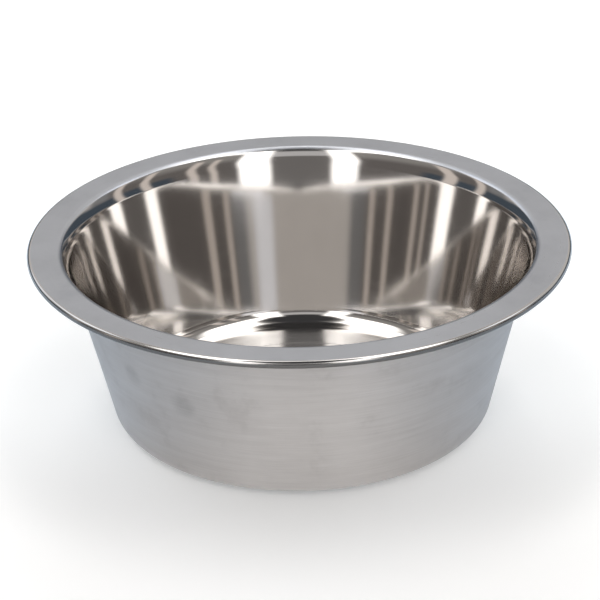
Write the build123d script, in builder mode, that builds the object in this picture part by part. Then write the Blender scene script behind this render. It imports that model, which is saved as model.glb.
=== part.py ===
from build123d import *
import os
from math import acos, cos, degrees, radians, sin

# Stainless dog bowl: one deep-drawn sheet with a flat flange and a rolled edge,
# and a rubber ring bonded into the recess under its floor.
# Millimetres, +Z up. The origin is on the bowl's axis, on the surface that it stands on.

# Overall size
rim_diameter = 210.0  # over the rolled edge
bowl_height = 73.0  # from the standing surface to the top of the flange
sheet = 0.7  # thickness of the steel

# Wall and base
wall_lean = 12.95  # degrees from upright at the foot of the wall, widening upwards
wall_flare = 1.2  # degrees that the wall leans more at its top than at its foot
base_bend_radius = 7.8  # outside of the bend between wall and base

# Rim
flange_width = 11.3  # from the inner end of the flat to the outside of the rolled edge
lip_bend_radius = 3.0  # upper face of the tight bend beside the flange
shoulder_radius = 14.0  # inner face of the gentle bend between wall and lip bend
shoulder_turn = 25.0  # degrees
curl_radius = 1.45  # outside of the rolled edge
curl_turn = 270.0  # degrees that the edge is rolled down and under

# Raised panel in the floor
stand_width = 15.0  # flat steel between the base bend and the foot of the panel's step
panel_rise = 1.2  # above the flat steel round it
step_bend_radius = 3.0  # middle of the sheet, both bends of the step

# Anti-slip ring
ring_width = 12.0
ring_stand_off = 0.6  # how far the ring reaches below the steel
ring_step_gap = 0.5  # between the ring and the panel's step
ring_edge_radius = 0.4  # lower edges
groove_count = 2  # grip grooves round the underside
groove_width = 1.6
groove_depth = 0.5

# Middle of the sheet, from which both faces are half a thickness away
half_sheet = sheet / 2
foot_lean = radians(wall_lean)
top_lean = radians(wall_lean + wall_flare)
shoulder_lean = radians(wall_lean + wall_flare + shoulder_turn)
base_bend_middle = base_bend_radius - half_sheet
shoulder_middle = shoulder_radius - half_sheet
lip_bend_middle = lip_bend_radius - half_sheet
curl_middle = curl_radius - half_sheet

# Heights along the middle of the sheet
stand_z = ring_stand_off + half_sheet
panel_z = stand_z + panel_rise
flange_z = bowl_height - half_sheet
wall_foot_z = stand_z + base_bend_middle * (1 - sin(foot_lean))
shoulder_top_z = flange_z - lip_bend_middle * (1 - sin(shoulder_lean))
wall_top_z = shoulder_top_z - shoulder_middle * (sin(shoulder_lean) - sin(top_lean))

# The wall is one long arc, whose radius follows from its height and its two leans
wall_radius = (wall_top_z - wall_foot_z) / (sin(top_lean) - sin(foot_lean))

# Distances from the axis along the middle of the sheet, worked inwards from the rim
flange_outer = rim_diameter / 2 - curl_radius
flange_inner = rim_diameter / 2 - flange_width
shoulder_top = flange_inner - lip_bend_middle * cos(shoulder_lean)
wall_top = shoulder_top - shoulder_middle * (cos(top_lean) - cos(shoulder_lean))
wall_foot = wall_top - wall_radius * (cos(foot_lean) - cos(top_lean))
stand_outer = wall_foot - base_bend_middle * cos(foot_lean)

# The panel's step: two equal bends, one after the other
step_turn = acos(1 - panel_rise / (2 * step_bend_radius))
step_run = 2 * step_bend_radius * sin(step_turn)
panel_flat = stand_outer - stand_width - step_run

# The ring fills the recess under the panel and touches its flat underside
ring_height = ring_stand_off + panel_rise
ring_outer = panel_flat - ring_step_gap
ring_middle = ring_outer - ring_width / 2
groove_pitch = ring_width / (groove_count + 1)

# Bowl shell: the sheet follows one line from the axis to the rolled edge, turned about the axis
with BuildPart() as bowl_shell:
    with BuildSketch(Plane.XZ) as shell_section:
        with BuildLine() as sheet_line:
            panel = Line((0, panel_z), (panel_flat, panel_z))
            step_top = JernArc(panel @ 1, panel % 1, step_bend_radius, -degrees(step_turn))
            step_foot = JernArc(step_top @ 1, step_top % 1, step_bend_radius, degrees(step_turn))
            stand = Line(step_foot @ 1, (stand_outer, stand_z))
            base_bend = JernArc(stand @ 1, stand % 1, base_bend_middle, 90 - wall_lean)
            wall = JernArc(base_bend @ 1, base_bend % 1, wall_radius, -wall_flare)
            shoulder = JernArc(wall @ 1, wall % 1, shoulder_middle, -shoulder_turn)
            lip_turn = 90 - wall_lean - wall_flare - shoulder_turn
            lip_bend = JernArc(shoulder @ 1, shoulder % 1, lip_bend_middle, -lip_turn)
            flange = Line(lip_bend @ 1, (flange_outer, flange_z))
            curl = JernArc(flange @ 1, flange % 1, curl_middle, -curl_turn)
        trace(line_width=sheet)
    revolve(axis=Axis.Z)

# Anti-slip ring: flat on top, with rounded lower edges and grip grooves underneath
with BuildPart() as anti_slip_ring:
    with BuildSketch(Plane.XZ) as ring_section:
        with Locations((ring_middle, ring_height / 2)):
            Rectangle(ring_width, ring_height)
        fillet(ring_section.vertices().group_by(Axis.Y)[0], ring_edge_radius)
        with Locations((ring_middle, 0)):
            with GridLocations(groove_pitch, 0, groove_count, 1):
                Rectangle(groove_width, 2 * groove_depth, mode=Mode.SUBTRACT)
    revolve(axis=Axis.Z)

os.makedirs("parts", exist_ok=True)
for name, piece in (("bowl_shell", bowl_shell), ("anti_slip_ring", anti_slip_ring)):
    piece.part.label = name
    export_step(piece.part, f"parts/{name}.step")
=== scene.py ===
# %% [markdown]
# # A stainless dog bowl
# The bowl is one steel sheet, drawn deep and rolled over at its edge, on a rubber ring that keeps it
# from sliding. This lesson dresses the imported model: it loads the two solids, models both pieces again
# as clean turned meshes, gives each stretch of the steel its own finish, and sets up a small studio.

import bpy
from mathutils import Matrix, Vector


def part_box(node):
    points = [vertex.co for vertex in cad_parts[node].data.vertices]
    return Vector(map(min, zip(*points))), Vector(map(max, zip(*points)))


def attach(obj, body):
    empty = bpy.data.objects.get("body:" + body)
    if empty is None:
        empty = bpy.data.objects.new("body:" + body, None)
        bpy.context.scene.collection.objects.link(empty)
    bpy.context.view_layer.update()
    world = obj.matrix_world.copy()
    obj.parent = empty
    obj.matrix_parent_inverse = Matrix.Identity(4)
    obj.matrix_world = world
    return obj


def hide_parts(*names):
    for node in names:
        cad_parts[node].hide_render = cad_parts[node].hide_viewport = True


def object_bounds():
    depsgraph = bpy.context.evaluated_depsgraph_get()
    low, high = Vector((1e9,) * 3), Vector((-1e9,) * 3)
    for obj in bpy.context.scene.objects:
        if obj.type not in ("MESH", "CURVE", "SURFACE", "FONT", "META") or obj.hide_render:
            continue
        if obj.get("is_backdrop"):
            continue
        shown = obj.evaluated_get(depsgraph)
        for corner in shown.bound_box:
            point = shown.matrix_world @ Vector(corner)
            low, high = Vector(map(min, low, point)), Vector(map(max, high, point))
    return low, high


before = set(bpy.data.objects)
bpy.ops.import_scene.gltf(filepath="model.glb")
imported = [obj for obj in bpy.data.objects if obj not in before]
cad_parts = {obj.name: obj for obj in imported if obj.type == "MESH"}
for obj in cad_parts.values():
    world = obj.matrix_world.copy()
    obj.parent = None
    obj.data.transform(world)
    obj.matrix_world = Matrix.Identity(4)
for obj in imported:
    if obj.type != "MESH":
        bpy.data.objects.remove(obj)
cad_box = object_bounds()
print("nodes:", sorted(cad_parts))

# %% [markdown]
# ## Sizes
# The overall sizes come from the solids, so the meshes can't drift away from them. What can't be read
# off a box, such as a bend, is repeated here in millimetres. Blender works in metres.

# %% Sizes of the sheet
import math
from collections import namedtuple

import bmesh
import bpy
from mathutils import Quaternion, Vector

MM = 0.001
shell_low, shell_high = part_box("bowl_shell")
rim_radius = max(shell_high.x, shell_high.y)
flange_top = shell_high.z
stand_level = shell_low.z

sheet = 0.7 * MM
wall_lean = 12.95
wall_flare = 1.2
base_bend = 7.8 * MM
shoulder = 14.0 * MM
shoulder_turn = 25.0
lip_bend = 3.0 * MM
flange_width = 11.3 * MM
curl = 1.45 * MM
curl_turn = 270.0
stand_width = 15.0 * MM
panel_rise = 1.2 * MM
step_bend = 3.0 * MM
print(f"rim {2 * rim_radius / MM:.1f} mm across, flange top at {flange_top / MM:.1f} mm")

# %% [markdown]
# ## The section of the sheet
# Cut through its axis, the bowl is a line of even thickness: flat, bend, flat, bend. A sheet-metal
# worker writes such a line as runs and bends along the middle of the sheet, and so does this cell.
# Each stretch has the name of its finish. A left bend has a positive turn, a right bend a negative one.

# %% Runs and bends along the middle of the sheet
foot_lean = math.radians(wall_lean)
top_lean = math.radians(wall_lean + wall_flare)
shoulder_lean = math.radians(wall_lean + wall_flare + shoulder_turn)
base_middle = base_bend - sheet / 2
shoulder_middle = shoulder - sheet / 2
lip_middle = lip_bend - sheet / 2
curl_middle = curl - sheet / 2

base_rise = base_middle * (1 - math.sin(foot_lean))
shoulder_rise = shoulder_middle * (math.sin(shoulder_lean) - math.sin(top_lean))
lip_rise = lip_middle * (1 - math.sin(shoulder_lean))
wall_rise = flange_top - stand_level - sheet - base_rise - shoulder_rise - lip_rise
wall_radius = wall_rise / (math.sin(top_lean) - math.sin(foot_lean))
flange_inner = rim_radius - flange_width
shoulder_top = flange_inner - lip_middle * math.cos(shoulder_lean)
wall_top = shoulder_top - shoulder_middle * (math.cos(top_lean) - math.cos(shoulder_lean))
wall_foot = wall_top - wall_radius * (math.cos(foot_lean) - math.cos(top_lean))
stand_outer = wall_foot - base_middle * math.cos(foot_lean)
step_turn = math.degrees(math.acos(1 - panel_rise / (2 * step_bend)))
step_run = 2 * step_bend * math.sin(math.radians(step_turn))
panel_flat = stand_outer - stand_width - step_run

floor_steps = [
    ("run", panel_flat),
    ("bend", step_bend, -step_turn),
    ("bend", step_bend, step_turn),
    ("run", stand_width),
]
inside_steps = [
    ("bend", base_middle, 90 - wall_lean),
    ("bend", wall_radius, -wall_flare),
    ("bend", shoulder_middle, -shoulder_turn),
    ("bend", lip_middle, wall_lean + wall_flare + shoulder_turn - 90),
    ("run", flange_width - curl),
]
edge_steps = [("bend", curl_middle, -curl_turn)]
print(f"wall {wall_rise / MM:.1f} mm high, panel flat to {panel_flat / MM:.1f} mm")

# %% [markdown]
# ## A pen that draws sheet
# A wire could be typed in as points, but then every bend would be a table of numbers. Instead a small
# pen leaves edges behind it: a run extrudes the last vertex and moves it, and a bend spins that vertex
# about the bend's centre. The same steps draw both faces, because an offset face only changes the
# radius of each bend.

# %% The pen
BEND_STEP = 5.0  # most degrees of bend between two vertices
LONGEST = 6.0 * MM  # longest edge along a bend
FEWEST = 3  # edges that any bend has


class SheetPen:
    """Draws one face of the sheet as a wire in the XZ plane."""

    def __init__(self, mesh, start, heading=0.0):
        self.mesh = mesh
        self.heading = heading
        self.tip = mesh.verts.new(start)

    def towards(self, turn=0.0):
        angle = math.radians(self.heading + turn)
        return Vector((math.cos(angle), 0.0, math.sin(angle)))

    def run(self, length):
        grown = bmesh.ops.extrude_vert_indiv(self.mesh, verts=[self.tip])
        self.tip = grown["verts"][0]
        bmesh.ops.translate(self.mesh, verts=[self.tip], vec=self.towards() * length)

    def bend(self, radius, turn):
        side = math.copysign(90.0, turn)
        length = radius * math.radians(abs(turn))
        bent = bmesh.ops.spin(
            self.mesh,
            geom=[self.tip],
            cent=self.tip.co + self.towards(side) * radius,
            axis=(0, -1, 0),
            angle=math.radians(turn),
            steps=max(FEWEST, round(abs(turn) / BEND_STEP), round(length / LONGEST)),
        )
        self.tip = next(item for item in bent["geom_last"] if isinstance(item, bmesh.types.BMVert))
        self.heading += turn

    def draw(self, steps, offset=0.0):
        """Follows the steps on a line that lies offset to the left of them."""
        for kind, size, *turn in steps:
            if kind == "run":
                self.run(size)
            else:
                self.bend(size - offset * math.copysign(1.0, turn[0]), turn[0])


print("the pen bends in steps of", BEND_STEP, "degrees")

# %% [markdown]
# ## Turning a wire into a wall
# Everything here is round, so a wire becomes a surface by a spin about the axis. One full spin in many
# steps is slow on a long wire, so the wire is first spun into a narrow slice, like a slice of cake, and
# a second spin then lays copies of the slice all round. Each stretch is turned by itself, and its faces
# take the number of their finish straight away. The slices and stretches are welded afterwards, and
# the normals are made to point outwards once the shell is closed.

# %% Spin, weld and finish a mesh
SLICES = 16
SLICE_STEPS = 16
AROUND = SLICES * SLICE_STEPS  # faces round the bowl
WELD = 0.002 * MM  # vertices nearer than this become one
NORMAL_WEIGHT = 90  # above 50, large faces steer the normals of small ones


def spin_round(mesh, geometry, share, steps, copies):
    """Spins geometry by a share of a turn about the bowl's axis."""
    bmesh.ops.spin(
        mesh,
        geom=geometry,
        cent=(0, 0, 0),
        axis=(0, 0, 1),
        angle=math.tau * share,
        steps=steps,
        use_duplicate=copies,
    )


def turn_stretch(mesh, start, heading, steps, offset, finish):
    """Draws one stretch, turns it round the axis, and returns where the pen stopped."""
    part = bmesh.new()
    pen = SheetPen(part, start, heading)
    pen.draw(steps, offset)
    stop, heading = pen.tip.co.copy(), pen.heading
    spin_round(part, [*part.verts, *part.edges], 1 / SLICES, SLICE_STEPS, False)
    spin_round(part, [*part.verts, *part.edges, *part.faces], 1 - 1 / SLICES, SLICES - 1, True)
    for face in part.faces:
        face.material_index = finish
    kept = bpy.data.meshes.new("stretch")
    part.to_mesh(kept)
    part.free()
    mesh.from_mesh(kept)
    bpy.data.meshes.remove(kept)
    return stop, heading


def finish_mesh(mesh, name, materials, sharp_angle=35.0):
    """Welds the stretches, turns the faces outwards and makes the object."""
    bmesh.ops.remove_doubles(mesh, verts=mesh.verts[:], dist=WELD)
    bmesh.ops.recalc_face_normals(mesh, faces=mesh.faces[:])
    for face in mesh.faces:
        face.smooth = True
    data = bpy.data.meshes.new(name)
    mesh.to_mesh(data)
    mesh.free()
    data.set_sharp_from_angle(angle=math.radians(sharp_angle))
    for material in materials:
        data.materials.append(material)
    piece = bpy.data.objects.new(name, data)
    bpy.context.scene.collection.objects.link(piece)
    weighted = piece.modifiers.new("even reflections", "WEIGHTED_NORMAL")
    weighted.weight = NORMAL_WEIGHT
    weighted.keep_sharp = True
    return piece


print("one turn has", AROUND, "faces")

# %% [markdown]
# ## Shader maths in plain Python
# A finish is mostly sums on numbers that vary over the surface. Wrapping a socket in a small class lets
# the sums be written as sums: each operator adds its Math node. Every other node comes from one method.

# %% Sockets that can be added and multiplied


class Number:
    """A socket that carries one number, with the usual operators."""

    def __init__(self, tree, socket):
        self.tree = tree
        self.socket = socket

    def maths(self, operation, *others):
        sockets = dict(enumerate((self, *others)))
        return self.tree.node("ShaderNodeMath", {"operation": operation}, sockets).number("Value")

    def __add__(self, other):
        return self.maths("ADD", other)

    def __sub__(self, other):
        return self.maths("SUBTRACT", other)

    def __rsub__(self, other):
        return (self * -1.0) + other

    def __mul__(self, other):
        return self.maths("MULTIPLY", other)

    def __truediv__(self, other):
        return self.maths("DIVIDE", other)

    def band(self, low, high, soft):
        """1 between low and high, 0 outside, with edges that take the width of soft."""
        rise = self.tree.step(self, low - soft / 2, low + soft / 2)
        fall = self.tree.step(self, high - soft / 2, high + soft / 2)
        return rise * (1.0 - fall)


class Made:
    """A node that was made, whose outputs are taken by name."""

    def __init__(self, tree, node):
        self.tree = tree
        self.node = node

    def number(self, output):
        return Number(self.tree, self.node.outputs[output])

    def socket(self, output):
        return self.node.outputs[output]


class Tree:
    """The node tree of a material or of the world."""

    def __init__(self, owner):
        owner.use_nodes = True
        self.nodes = owner.node_tree.nodes
        self.links = owner.node_tree.links
        self.nodes.clear()

    def node(self, kind, settings=None, sockets=None):
        made = self.nodes.new(kind)
        for name, value in (settings or {}).items():
            setattr(made, name, value)
        for name, value in (sockets or {}).items():
            self.feed(made.inputs[name], value)
        return Made(self, made)

    def feed(self, target, value):
        source = value.socket if isinstance(value, Number) else value
        if isinstance(source, bpy.types.NodeSocket):
            self.links.new(source, target)
        else:
            target.default_value = source

    def step(self, number, low, high):
        """0 at low and 1 at high, eased at both ends."""
        sockets = {"Value": number, "From Min": low, "From Max": high}
        settings = {"interpolation_type": "SMOOTHSTEP"}
        return self.node("ShaderNodeMapRange", settings, sockets).number("Result")

    def mix(self, factor, first, second):
        """A colour between two colours. The node keeps them in its inputs 6 and 7."""
        sockets = {"Factor": factor, 6: first, 7: second}
        return self.node("ShaderNodeMix", {"data_type": "RGBA"}, sockets).node.outputs[2]


print("shader helpers ready")

# %% [markdown]
# ## Steel finishes
# The sheet is the same steel everywhere, but it is worked differently: the press leaves the floor a
# little dull, the basin is buffed to a mirror while it spins, so its polishing lines run round the
# axis, the flange is brushed with a belt and tinted blue as a painted reflection, the rolled edge is
# bright on top and painted dark underneath as painted shade, and the outside is satin. All of them
# are one metal with another tone and roughness, so one function makes them all from a few numbers.
# The buffing wheel runs out over the floor and the belt touches the bend beside the flange, so there
# one finish changes slowly into the other. The pattern is read from Object coordinates: a direction
# round the axis, and the distance along the sheet, which is radius plus height. Two finger marks on
# the outside are soft balls of shade, each with a place and a size.

# %% One steel, several finishes
Finish = namedtuple("Finish", "colour roughness lines waves patches")
MARK_DEPTH = 0.085  # how much darker a finger mark is
MARK_CORE = 0.3  # share of a mark that is fully dark
AXIS_GAP = 0.1 * MM  # nearer to the axis, a direction round it means nothing
LINES = (5.0, 5.0, 2.2)  # polishing lines: scale of the direction's x and y, and along the sheet
BANDS = (2.0, 2.0, 0.35)  # the same for broad bands
WAVES = 22.0  # scale of the sheet's slow unevenness
SMUDGES = 60.0  # scale of handling marks
WORN = (0.56, 0.74)  # where a smudge starts to look worn, and where it is fully worn
CLOUDY = (0.3, 0.7)  # the same for clouds of tone in the waves
SPOTTED = (0.35, 0.65)  # and in the smudges
MIDDLE = 0.5  # of a noise
BAND_DULLS, LINE_DULLS, WEAR_DULLS = 0.35, 0.5, 0.18  # shares of the roughness that they change
QUARTER_TURN = 0.25  # spreads reflections across the lines, not along them


def round_place(tree):
    """Direction round the axis as two numbers, and radius and height in millimetres."""
    place = tree.node("ShaderNodeTexCoord").socket("Object")
    axes = tree.node("ShaderNodeSeparateXYZ", None, {"Vector": place})
    x, y, z = (axes.number(name) for name in "XYZ")
    radius = (x * x + y * y).maths("SQRT").maths("MAXIMUM", AXIS_GAP)
    return x / radius, y / radius, radius / MM, z / MM


def noise(tree, place, scale, detail=2.0, roughness=0.5):
    sockets = {"Vector": place, "Scale": scale, "Detail": detail, "Roughness": roughness}
    return tree.node("ShaderNodeTexNoise", None, sockets).number("Fac")


def vector(tree, x, y, z):
    return tree.node("ShaderNodeCombineXYZ", None, {"X": x, "Y": y, "Z": z}).socket("Vector")


def finger_marks(tree, marks):
    """1 in the middle of each mark, fading out at its edge."""
    place = tree.node("ShaderNodeTexCoord").socket("Object")
    dull = 0.0
    for centre, size in marks:
        away = tree.node("ShaderNodeVectorMath", {"operation": "DISTANCE"}, {0: place, 1: centre})
        dull = 1.0 - tree.step(away.number("Value"), MARK_CORE * size, size) + dull
    return dull


def steel(name, anisotropy, inner, outer, first=0.0, last=1.0, upwards=False, marks=()):
    """Stainless steel whose inner finish changes into the outer one between two radii, or between two
    heights where it goes upwards. lines is the depth of the polishing lines and waves that of the
    sheet's slow unevenness, in millimetres. patches is how much the tone varies, and anisotropy
    spreads reflections across the lines."""
    material = bpy.data.materials.new(name)
    tree = Tree(material)
    round_x, round_y, radius, height = round_place(tree)
    along = radius + height
    share = tree.step(height if upwards else radius, first, last)

    def between(low, high):
        return share * (high - low) + low

    def turned(scales, detail, roughness=0.5):
        stretched = (part * scale for part, scale in zip((round_x, round_y, along), scales))
        return noise(tree, vector(tree, *stretched), 1.0, detail, roughness)

    place = tree.node("ShaderNodeTexCoord").socket("Object")
    fine = turned(LINES, detail=3.0, roughness=0.65)
    broad = turned(BANDS, detail=2.0)
    slow = noise(tree, place, WAVES, detail=1.0)
    smudge = noise(tree, place, SMUDGES, detail=4.0, roughness=0.6)

    worn = tree.step(smudge, *WORN)
    uneven = (broad - MIDDLE) * BAND_DULLS + (fine - MIDDLE) * LINE_DULLS + worn * WEAR_DULLS
    rough = (uneven + 1.0) * between(inner.roughness, outer.roughness)
    colour = tree.mix(share, (*inner.colour, 1.0), (*outer.colour, 1.0))
    cloudy = tree.step(slow, *CLOUDY) + tree.step(smudge, *SPOTTED)
    tint = 1.0 - (cloudy + worn) * between(inner.patches, outer.patches)
    if marks:
        tint = tint - finger_marks(tree, marks) * cloudy * MARK_DEPTH
    base = tree.node("ShaderNodeVectorMath", {"operation": "SCALE"}, {0: colour, "Scale": tint})

    relief = fine * between(inner.lines, outer.lines) + slow * between(inner.waves, outer.waves)
    bump = tree.node("ShaderNodeBump", None, {"Height": relief * MM, "Distance": 1.0, "Strength": 1.0})
    shader = tree.node(
        "ShaderNodeBsdfPrincipled",
        None,
        {
            "Base Color": base.socket("Vector"),
            "Metallic": 1.0,
            "Roughness": rough,
            "Anisotropic": anisotropy,
            "Anisotropic Rotation": QUARTER_TURN,
            "Normal": bump.socket("Normal"),
        },
    )
    tree.node("ShaderNodeOutputMaterial", None, {"Surface": shader.socket("BSDF")})
    return material


pressed = Finish((0.66, 0.65, 0.64), 0.23, 0.001, 0.03, 0.02)
buffed = Finish((0.69, 0.67, 0.65), 0.075, 0.0006, 0.045, 0.015)
# Belt-brushed flange; its bluish colour is a painted reflection of a bluish room
belted_with_painted_blue = Finish((0.59, 0.615, 0.66), 0.32, 0.002, 0.006, 0.05)
rolled = Finish((0.62, 0.61, 0.60), 0.13, 0.0006, 0.002, 0.02)
# Underside of the roll: a dark colour that paints the shade under the rolled edge
painted_shade_under_roll = Finish((0.15, 0.148, 0.146), 0.25, 0.001, 0.004, 0.03)
satin = Finish((0.675, 0.655, 0.645), 0.72, 0.0012, 0.006, 0.022)

# Radii, and for the roll heights, between which one finish changes into the next, in millimetres
buffing_ends = stand_outer / MM
buffing_starts = buffing_ends - 8.0
belt_starts = shoulder_top / MM - 0.6
belt_ends = flange_inner / MM - 1.6
roll_level = (flange_top - curl) / MM
bright_starts = roll_level + 0.2
bright_ends = roll_level + 1.1

FAINT, STRONG = 0.2, 0.7  # how far the polishing lines spread reflections
floor_steel = steel("floor_steel", FAINT, pressed, buffed, buffing_starts, buffing_ends)
inside_steel = steel("inside_steel", FAINT, buffed, belted_with_painted_blue, belt_starts, belt_ends)
# The roll's lower half takes the painted shade, and its top takes the bright rolled finish
rolled_steel = steel("rolled_steel", FAINT, painted_shade_under_roll, rolled, bright_starts, bright_ends, upwards=True)
touched = [
    ((-44.7 * MM, -70.2 * MM, 37.5 * MM), 7.0 * MM),
    ((-63.3 * MM, -55.0 * MM, 43.5 * MM), 6.0 * MM),
]
outside_steel = steel("outside_steel", STRONG, satin, satin, marks=touched)
steel_finishes = [floor_steel, inside_steel, rolled_steel, outside_steel]
print("steel finishes:", [material.name for material in steel_finishes])

# %% [markdown]
# ## The bowl shell
# The upper face is drawn from the axis outwards in three stretches, so that the floor, the inside and
# the rolled edge each get their steel. The lower face follows the same steps one sheet below. A short
# run across the cut joins the two at the end of the roll. A Solidify modifier would also give the
# thickness, but then inside and outside would share their material slots.

# %% Model the bowl shell
FLOOR, INSIDE, EDGE, OUTSIDE = range(4)
shell_mesh = bmesh.new()
panel_middle = stand_level + panel_rise + sheet / 2
upper = sheet / 2
face_start = Vector((0.0, 0.0, panel_middle + upper))

stop, heading = turn_stretch(shell_mesh, face_start, 0.0, floor_steps, upper, FLOOR)
stop, heading = turn_stretch(shell_mesh, stop, heading, inside_steps, upper, INSIDE)
stop, heading = turn_stretch(shell_mesh, stop, heading, edge_steps, upper, EDGE)
turn_stretch(shell_mesh, stop, heading - 90.0, [("run", sheet)], 0.0, EDGE)

face_start = Vector((0.0, 0.0, panel_middle - upper))
turn_stretch(shell_mesh, face_start, 0.0, floor_steps + inside_steps + edge_steps, -upper, OUTSIDE)

bowl = finish_mesh(shell_mesh, "bowl", steel_finishes)
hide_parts("bowl_shell")
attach(bowl, "root")
print("bowl:", len(bowl.data.polygons), "faces")

# %% [markdown]
# ## Rubber
# The ring under the floor is moulded rubber: nearly black, matt, with a fine grain from the mould and a
# little pale dust where it meets the ground. Dust lies in slow patches, so a noise mixes it in.

# %% Moulded rubber
RUBBER_BLACK = (0.022, 0.022, 0.024, 1.0)
DUST_GREY = (0.12, 0.115, 0.11, 1.0)
RUBBER_ROUGH = 0.62
DUST_ROUGH = 0.3  # what dust adds to it
RUBBER_SHINE = 0.35
GRAIN_SCALE = 2600.0
GRAIN_DEPTH = 0.03 * MM
DUST_SCALE = 45.0
DUSTY = (0.5, 0.75)  # where the noise starts to be dust, and where dust is thickest
DUST_COVER = 0.35  # how much of the rubber the thickest dust hides


def moulded_rubber(name):
    material = bpy.data.materials.new(name)
    tree = Tree(material)
    place = tree.node("ShaderNodeTexCoord").socket("Object")
    grain = noise(tree, place, GRAIN_SCALE, detail=2.0)
    patches = noise(tree, place, DUST_SCALE, detail=3.0)
    dust = tree.step(patches, *DUSTY) * DUST_COVER
    base = tree.mix(dust, RUBBER_BLACK, DUST_GREY)
    bump = tree.node("ShaderNodeBump", None, {"Height": grain * GRAIN_DEPTH, "Distance": 1.0})
    sockets = {
        "Base Color": base,
        "Roughness": dust * DUST_ROUGH + RUBBER_ROUGH,
        "Specular IOR Level": RUBBER_SHINE,
        "Normal": bump.socket("Normal"),
    }
    shader = tree.node("ShaderNodeBsdfPrincipled", None, sockets)
    tree.node("ShaderNodeOutputMaterial", None, {"Surface": shader.socket("BSDF")})
    return material


ring_rubber = moulded_rubber("ring_rubber")
print("rubber finish:", ring_rubber.name)

# %% [markdown]
# ## The anti-slip ring
# The ring lies in the recess under the raised panel. Its section is a flat bar with rounded lower edges
# and two grip grooves, so the same pen draws it: out along the top, down the outside, and back along
# the underside. A mould leaves no sharp corner, so each corner of a groove is a tiny bend.

# %% Model the anti-slip ring
ring_low, ring_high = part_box("anti_slip_ring")
ring_outer = max(ring_high.x, ring_high.y)
ring_height = ring_high.z - ring_low.z
ring_width = 12.0 * MM
ring_edge = 0.4 * MM
groove_count = 2
groove_width = 1.6 * MM
groove_depth = 0.5 * MM
soft = 0.12 * MM

land = ring_width / (groove_count + 1) - groove_width
end_land = (ring_width - groove_count * groove_width - (groove_count - 1) * land) / 2
right, left = ("bend", soft, -90.0), ("bend", soft, 90.0)
wall = ("run", groove_depth - 2 * soft)
groove = [right, wall, left, ("run", groove_width - 2 * soft), left, wall, right]
underside = [("run", end_land - ring_edge - soft)]
for number in range(groove_count):
    last = number == groove_count - 1
    underside += groove
    underside.append(("run", end_land - ring_edge - soft if last else land - 2 * soft))

round_edge = ("bend", ring_edge, -90.0)
side = ("run", ring_height - ring_edge - soft)
ring_steps = [("run", ring_width - 2 * soft), right, side, round_edge]
ring_steps += [*underside, round_edge, side, right]

ring_mesh = bmesh.new()
ring_start = Vector((ring_outer - ring_width + soft, 0.0, ring_high.z))
stop, heading = turn_stretch(ring_mesh, ring_start, 0.0, ring_steps, 0.0, 0)
ring = finish_mesh(ring_mesh, "grip_ring", [ring_rubber], sharp_angle=60.0)
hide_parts("anti_slip_ring")
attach(ring, "root")
print("ring:", len(ring.data.polygons), "faces, wire closes within", (stop - ring_start).length)

# %% [markdown]
# ## Floor
# A studio photograph of steel stands on white paper. The paper is a disc whose diffuse part catches the
# bowl's shadow. What makes it white is a little glow that only the camera and reflections see, so it
# adds no light to the object. The glow grows behind and beside the bowl, where the photograph fades to
# white, and at the sides it turns blue for reflections only, a painted blue reflection that tints the
# steel's sides. From below the paper is clear, because the underside has to be seen too.

# %% White paper
PAPER_WHITE = (0.88, 0.88, 0.88, 1.0)
PAPER_GLOW = 0.157  # in front of the bowl
GLOW_BEHIND = 0.13  # more of it behind the bowl
GLOW_BESIDE = 0.05  # and some more beside it
GLOW_WHITE = (0.94, 1.0, 1.03, 1.0)  # evens out the warm lamps
# Painted blue reflection: the colour of the paper's glow beside the bowl, seen only by the steel
PAINTED_BLUE_REFLECTION = (0.12, 0.55, 1.0, 1.0)  # what the steel sees of the paper beside it
BEHIND = (-0.09, 0.01)  # where the glow behind starts and is full, in metres along Y
BESIDE = (0.07, 0.13)  # the same for the glow beside, in metres from the middle
BLUE_BESIDE = (0.05, 0.11)  # and for the blue
paper = bpy.data.materials.new("white_paper")
tree = Tree(paper)
path = tree.node("ShaderNodeLightPath")
seen = path.number("Is Camera Ray") + path.number("Is Glossy Ray") + path.number("Is Transmission Ray")
place = tree.node("ShaderNodeTexCoord").socket("Object")
axes = tree.node("ShaderNodeSeparateXYZ", None, {"Vector": place})
beside = axes.number("X").maths("ABSOLUTE")
strength = tree.step(axes.number("Y"), *BEHIND) * GLOW_BEHIND + PAPER_GLOW
strength = tree.step(beside, *BESIDE) * GLOW_BESIDE + strength
# Beside the bowl, glossy rays see the glow blue: a painted blue reflection on the steel's sides
blue = tree.step(beside, *BLUE_BESIDE) * path.number("Is Glossy Ray")
glow_colour = tree.mix(blue, GLOW_WHITE, PAINTED_BLUE_REFLECTION)
glow_sockets = {"Color": glow_colour, "Strength": seen.maths("MINIMUM", 1.0) * strength}
glow = tree.node("ShaderNodeEmission", None, glow_sockets)
sheet_of_paper = tree.node("ShaderNodeBsdfDiffuse", None, {"Color": PAPER_WHITE})
lit_sockets = {0: sheet_of_paper.socket("BSDF"), 1: glow.socket("Emission")}
lit = tree.node("ShaderNodeAddShader", None, lit_sockets)
below = tree.node("ShaderNodeNewGeometry").number("Backfacing")
clear = tree.node("ShaderNodeBsdfTransparent")
face_sockets = {0: below, 1: lit.socket("Shader"), 2: clear.socket("BSDF")}
faces = tree.node("ShaderNodeMixShader", None, face_sockets)
tree.node("ShaderNodeOutputMaterial", None, {"Surface": faces.socket("Shader")})
paper.cycles.emission_sampling = "NONE"

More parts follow.
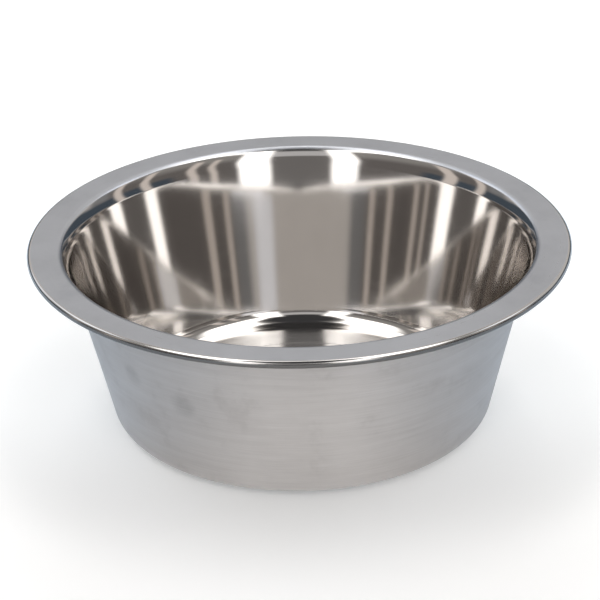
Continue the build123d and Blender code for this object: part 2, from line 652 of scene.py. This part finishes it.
FLOOR_RADIUS = 8.0
FLOOR_SIDES = 64
FLOOR_GAP = 0.02 * MM
floor_mesh = bmesh.new()
bmesh.ops.create_circle(floor_mesh, cap_ends=True, segments=FLOOR_SIDES, radius=FLOOR_RADIUS)
bmesh.ops.translate(floor_mesh, verts=floor_mesh.verts[:], vec=(0, 0, cad_box[0].z - FLOOR_GAP))
floor_data = bpy.data.meshes.new("floor")
floor_mesh.to_mesh(floor_data)
floor_mesh.free()
floor_data.materials.append(paper)
floor = bpy.data.objects.new("floor", floor_data)
bpy.context.scene.collection.objects.link(floor)
floor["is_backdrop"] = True
print("floor at", floor_data.vertices[0].co.z / MM, "mm")

# %% [markdown]
# ## The room that the steel reflects
# Polished steel has hardly a colour of its own: it shows the room. So the room is drawn in the world, by
# direction, and it gives all of the light as well. Lamps could be set up instead, but a drawn room puts
# each light in the steel where it belongs. A direction is measured here as an angle up and an angle
# round from the camera's side, positive to the right. For lights overhead it is also measured as on a
# flat ceiling: how far across and how far ahead it meets a ceiling one unit up.

# %% Directions in the room
SPREAD = 1.03  # a near room spreads further round higher up
SPREAD_FALL = 0.0028  # for each degree up
SPREAD_TOP = 24.0  # degrees up at which that ends
LEAST_RISE = 0.05  # keeps the far end of the ceiling finite
world = bpy.data.worlds.new("studio")
bpy.context.scene.world = world
bpy.context.scene.view_settings.view_transform = "Standard"
tree = Tree(world)
direction = tree.node("ShaderNodeTexCoord").socket("Generated")
axes = tree.node("ShaderNodeSeparateXYZ", None, {"Vector": direction})
x, y, z = (axes.number(name) for name in "XYZ")
degree = math.degrees(1.0)
up = z.maths("ARCSINE") * degree
nearness = SPREAD - up.maths("MINIMUM", SPREAD_TOP) * SPREAD_FALL
round_by = x.maths("ARCTAN2", y * -1.0) * degree * nearness
height = z.maths("MAXIMUM", LEAST_RISE)
across = x.maths("ABSOLUTE") / height
ahead = y * -1.0 / height
print("the room has", len(tree.nodes), "nodes for directions")

# %% [markdown]
# ## Walls of the room
# Round the bowl the room is dim. A white sheet hangs behind the bowl, with grey wall at both its ends
# and a window on each side, a light shelf runs over the camera, and narrow gaps let in a little warm
# light. Each of them is one row of a table, and a later row covers an earlier one.

# %% Dim walls, white sheet, windows and gaps
ROOM_LOW = (0.155, 0.142, 0.136, 1.0)
ROOM_HIGH = (0.31, 0.297, 0.283, 1.0)
ROOM_CHANGE = (26, 42)  # degrees up between which the low room changes into the high one
SHADE = (0.068, 0.086, 0.108, 1.0)
CAMERA_SIDE = (0.19, 0.18, 0.175, 1.0)
LIGHT_SHELF = (0.58, 0.57, 0.57, 1.0)
WHITE_SHEET = (0.68, 0.65, 0.625, 1.0)
GREY_WALL = (0.25, 0.25, 0.255, 1.0)
WINDOW = (1.08, 1.1, 1.16, 1.0)
HIGH_WINDOW = (1.5, 1.53, 1.6, 1.0)
GAP = (0.76, 0.685, 0.63, 1.0)

# name, colour, first and last angle round, lowest and highest angle up, softness of the edges
WALLS = (
    ("camera side", CAMERA_SIDE, -18, 14, -90, 40, 6),
    ("light shelf", LIGHT_SHELF, -18, 14, 35, 50, 4),
    ("shade left", SHADE, -200, -66, -90, 17, 8),
    ("shade right", SHADE, 66, 200, -90, 17, 8),
    ("grey wall left", GREY_WALL, -124, -107, 17, 47, 8),
    ("grey wall right", GREY_WALL, 106, 124, 17, 47, 8),
    ("white sheet left", WHITE_SHEET, -200, -121, 17, 47, 8),
    ("white sheet right", WHITE_SHEET, 121, 200, 17, 47, 8),
    ("window left", WINDOW, -147, -129, 17, 36, 8),
    ("high window left", HIGH_WINDOW, -138, -106, 33, 52, 8),
    ("high window right", HIGH_WINDOW, 98, 128, 37, 52, 8),
    ("gap 1 right", GAP, 41.5, 45.3, -90, 42, 3),
    ("gap 2 right", GAP, 52, 57, -90, 42, 3),
    ("gap 3 right", GAP, 79, 84.5, -90, 42, 3),
    ("gap 4 right", GAP, 97, 102.5, -90, 42, 3),
    ("gap 1 left", GAP, -86, -78, -90, 42, 3),
    ("gap 2 left", GAP, -105, -99.5, -90, 42, 3),
)

view = tree.mix(tree.step(up, *ROOM_CHANGE), ROOM_LOW, ROOM_HIGH)
for name, colour, first, last, low, high, soft in WALLS:
    view = tree.mix(round_by.band(first, last, soft) * up.band(low, high, soft), view, colour)
print("walls:", ", ".join(row[0] for row in WALLS))

# %% [markdown]
# ## Soft boxes
# Two long soft boxes light the bowl. In front they stand on both sides of the camera. Overhead they run
# back as two arms, draw together behind the bowl and leave a dark slot between them. Their white is
# brighter than 1 because they are the lamps, but they are narrow, so white paper still comes out white.
# Inside the bowl light is mirrored many times before it leaves, so more bounces than usual are traced.

# %% Arms overhead, uprights beside the camera
SOFT_BOX = (2.66, 2.6, 2.55, 1.0)
OVERHEAD = (3.05, 2.99, 2.93, 1.0)
SLOT = (0.05, 0.05, 0.052, 1.0)
BACKDROP = (1.0, 1.0, 1.0, 1.0)  # what the camera sees past the paper

# Edges on the ceiling, each from where it starts to where it is full
PINCH_FROM = 0.2  # how far ahead the arms start to draw together
INNER_PINCH, OUTER_PINCH = 0.35, 0.8  # how fast their inner and outer edges do so
FRONT = (0.1, 0.5)  # how far ahead the arms get narrower in front
FRONT_PINCH = 0.27  # and by how much
SLOT_EDGE = (0.20, 0.30)
INNER_EDGE = (0.26, 0.34)
OUTER_EDGE = (0.7, 0.98)

# Degrees up, and for the uprights degrees round
SLOT_UP = (48, 53)
ARMS_UP = (46, 56)
UPRIGHTS = ((-30.6, -17.8), (14.0, 29.6))  # first and last angle round
UPRIGHT_SOFT = 5
UPRIGHT_HEIGHT = (-90, 57, 10)  # lowest and highest angle up, softness of the edges

# How often light is traced on from one surface to the next
GLOSSY_BOUNCES = 12
ALL_BOUNCES = 16

pinch = (ahead - PINCH_FROM).maths("MINIMUM", 0.0)
inner = across - pinch * INNER_PINCH
outer = across - pinch * OUTER_PINCH + tree.step(ahead, *FRONT) * FRONT_PINCH
slot = (1.0 - tree.step(inner, *SLOT_EDGE)) * tree.step(up, *SLOT_UP)
view = tree.mix(slot, view, SLOT)
arms = tree.step(inner, *INNER_EDGE) * (1.0 - tree.step(outer, *OUTER_EDGE)) * tree.step(up, *ARMS_UP)
view = tree.mix(arms, view, OVERHEAD)
for first, last in UPRIGHTS:
    upright = round_by.band(first, last, UPRIGHT_SOFT) * up.band(*UPRIGHT_HEIGHT)
    view = tree.mix(upright, view, SOFT_BOX)

seen = tree.node("ShaderNodeLightPath").number("Is Camera Ray")
view = tree.mix(seen, view, BACKDROP)
background = tree.node("ShaderNodeBackground", None, {"Color": view})
tree.node("ShaderNodeOutputWorld", None, {"Surface": background.socket("Background")})
bpy.context.scene.cycles.glossy_bounces = GLOSSY_BOUNCES
bpy.context.scene.cycles.max_bounces = ALL_BOUNCES
print("soft boxes at", UPRIGHTS, "degrees round")

# %% [markdown]
# ## Camera
# The camera stands in front of the bowl, about a metre away, and looks down on it. Its height,
# distance, lens and small roll were found by fitting the edges of the bowl in the photograph.

# %% Camera
LOOK_DOWN = math.radians(25.918)
DISTANCE = 0.9721
ROLL = -0.0220
LOOK_AT = Vector((-0.00015, 0.0, 0.04626))
FOCAL_PIXELS = 2485.6
FRAME_PIXELS = 600

camera_data = bpy.data.cameras.new("camera")
camera_data.lens = FOCAL_PIXELS / FRAME_PIXELS * camera_data.sensor_width
camera = bpy.data.objects.new("camera", camera_data)
back = Vector((0.0, -math.cos(LOOK_DOWN), math.sin(LOOK_DOWN)))
camera.location = LOOK_AT + back * DISTANCE
camera.rotation_mode = "QUATERNION"
camera.rotation_quaternion = (-back).to_track_quat("-Z", "Y") @ Quaternion((0, 0, 1), ROLL)
bpy.context.scene.collection.objects.link(camera)
bpy.context.scene.camera = camera
print(f"lens {camera_data.lens:.1f} mm")

# %% [markdown]
# ## Measure
# The dressed bowl must keep the size of the imported model, so both boxes are printed side by side.

# %% Measure both boxes and print them
boxes = {"cad": cad_box, "visual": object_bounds()}
boxes = {name: [list(corner) for corner in box] for name, box in boxes.items()}
print("boxes:", boxes)
